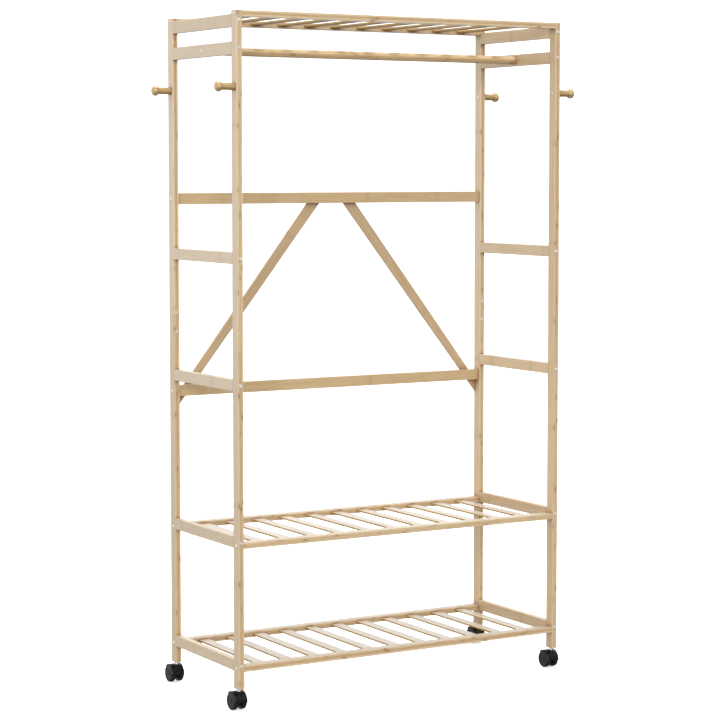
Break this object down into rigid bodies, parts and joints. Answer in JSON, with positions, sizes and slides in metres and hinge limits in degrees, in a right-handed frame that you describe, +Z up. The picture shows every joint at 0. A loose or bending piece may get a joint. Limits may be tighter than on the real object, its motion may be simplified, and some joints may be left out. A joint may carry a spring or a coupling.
{
  "type": "rolling clothes rack",
  "caption": "Tall rolling clothes rack of light bamboo boards, with a hanging rod, slatted shelves, coat pegs, diagonal back braces and swivel casters.",
  "frame": {"origin": "on the floor, under the middle of the rack's box; the middle of the wooden frame is 11.25 mm in front of it because the casters trail to the back", "axes": "+Z up, +X along the rack to its right-hand side as seen from the front, +Y from the front to the back"},
  "size_m": [1.106, 0.4233, 1.795],
  "materials": {
    "bamboo_posts": "satin",
    "bamboo_rails": "satin",
    "bamboo_slats": "satin",
    "bamboo_turned": "satin",
    "plated_steel": "bright",
    "hood_nylon": "semi-gloss",
    "wheel_nylon": "satin"
  },
  "bodies": {
    "frame": {"post_front_left_lower": "bamboo_posts", "post_front_left_upper": "bamboo_posts", "coat_peg_front_left": "bamboo_turned", "post_front_right_lower": "bamboo_posts", "post_front_right_upper": "bamboo_posts", "coat_peg_front_right": "bamboo_turned", "post_back_left_lower": "bamboo_posts", "post_back_left_upper": "bamboo_posts", "coat_peg_back_left": "bamboo_turned", "post_back_right_lower": "bamboo_posts", "post_back_right_upper": "bamboo_posts", "coat_peg_back_right": "bamboo_turned", "bottom_side_rail_left": "bamboo_rails", "bottom_side_rail_right": "bamboo_rails", "middle_side_rail_left": "bamboo_rails", "middle_side_rail_right": "bamboo_rails", "lower_guard_rail_left": "bamboo_rails", "lower_guard_rail_right": "bamboo_rails", "upper_guard_rail_left": "bamboo_rails", "upper_guard_rail_right": "bamboo_rails", "rod_rail_left": "bamboo_rails", "rod_rail_right": "bamboo_rails", "top_side_rail_left": "bamboo_rails", "top_side_rail_right": "bamboo_rails", "bottom_shelf_rail_front": "bamboo_rails", "bottom_shelf_rail_back": "bamboo_rails", "bottom_shelf_slats": "bamboo_slats", "middle_shelf_rail_front": "bamboo_rails", "middle_shelf_rail_back": "bamboo_rails", "middle_shelf_slats": "bamboo_slats", "top_shelf_rail_front": "bamboo_rails", "top_shelf_rail_back": "bamboo_rails", "top_shelf_slats": "bamboo_slats", "back_rail_lower": "bamboo_rails", "back_rail_upper": "bamboo_rails", "diagonal_brace_left": "bamboo_rails", "diagonal_brace_right": "bamboo_rails", "hanging_rod": "bamboo_turned", "connector_bolts": "plated_steel", "threaded_inserts": "plated_steel", "splice_screws": "plated_steel", "peg_screws": "plated_steel", "brace_screws": "plated_steel", "caster_stems": "plated_steel"},
    "caster_front_left": {"caster_hood_front_left": "hood_nylon", "caster_axle_front_left": "plated_steel"},
    "wheel_front_left_outer": {"wheel_front_left_outer": "wheel_nylon"},
    "wheel_front_left_inner": {"wheel_front_left_inner": "wheel_nylon"},
    "caster_front_right": {"caster_hood_front_right": "hood_nylon", "caster_axle_front_right": "plated_steel"},
    "wheel_front_right_outer": {"wheel_front_right_outer": "wheel_nylon"},
    "wheel_front_right_inner": {"wheel_front_right_inner": "wheel_nylon"},
    "caster_back_left": {"caster_hood_back_left": "hood_nylon", "caster_axle_back_left": "plated_steel"},
    "wheel_back_left_outer": {"wheel_back_left_outer": "wheel_nylon"},
    "wheel_back_left_inner": {"wheel_back_left_inner": "wheel_nylon"},
    "caster_back_right": {"caster_hood_back_right": "hood_nylon", "caster_axle_back_right": "plated_steel"},
    "wheel_back_right_outer": {"wheel_back_right_outer": "wheel_nylon"},
    "wheel_back_right_inner": {"wheel_back_right_inner": "wheel_nylon"}
  },
  "joints": [
    {"name": "swivel_front_left", "type": "hinge", "parent": "frame", "child": "caster_front_left", "pos_m": [-0.492, -0.19675, 0.052], "axis": [0, 0, 1], "continuous": true},
    {"name": "roll_front_left_outer", "type": "hinge", "parent": "caster_front_left", "child": "wheel_front_left_outer", "pos_m": [-0.5045, -0.18275, 0.023], "axis": [1, 0, 0], "continuous": true},
    {"name": "roll_front_left_inner", "type": "hinge", "parent": "caster_front_left", "child": "wheel_front_left_inner", "pos_m": [-0.4795, -0.18275, 0.023], "axis": [1, 0, 0], "continuous": true},
    {"name": "swivel_front_right", "type": "hinge", "parent": "frame", "child": "caster_front_right", "pos_m": [0.492, -0.19675, 0.052], "axis": [0, 0, 1], "continuous": true},
    {"name": "roll_front_right_outer", "type": "hinge", "parent": "caster_front_right", "child": "wheel_front_right_outer", "pos_m": [0.5045, -0.18275, 0.023], "axis": [1, 0, 0], "continuous": true},
    {"name": "roll_front_right_inner", "type": "hinge", "parent": "caster_front_right", "child": "wheel_front_right_inner", "pos_m": [0.4795, -0.18275, 0.023], "axis": [1, 0, 0], "continuous": true},
    {"name": "swivel_back_left", "type": "hinge", "parent": "frame", "child": "caster_back_left", "pos_m": [-0.492, 0.17425, 0.052], "axis": [0, 0, 1], "continuous": true},
    {"name": "roll_back_left_outer", "type": "hinge", "parent": "caster_back_left", "child": "wheel_back_left_outer", "pos_m": [-0.5045, 0.18825, 0.023], "axis": [1, 0, 0], "continuous": true},
    {"name": "roll_back_left_inner", "type": "hinge", "parent": "caster_back_left", "child": "wheel_back_left_inner", "pos_m": [-0.4795, 0.18825, 0.023], "axis": [1, 0, 0], "continuous": true},
    {"name": "swivel_back_right", "type": "hinge", "parent": "frame", "child": "caster_back_right", "pos_m": [0.492, 0.17425, 0.052], "axis": [0, 0, 1], "continuous": true},
    {"name": "roll_back_right_outer", "type": "hinge", "parent": "caster_back_right", "child": "wheel_back_right_outer", "pos_m": [0.5045, 0.18825, 0.023], "axis": [1, 0, 0], "continuous": true},
    {"name": "roll_back_right_inner", "type": "hinge", "parent": "caster_back_right", "child": "wheel_back_right_inner", "pos_m": [0.4795, 0.18825, 0.023], "axis": [1, 0, 0], "continuous": true}
  ]
}
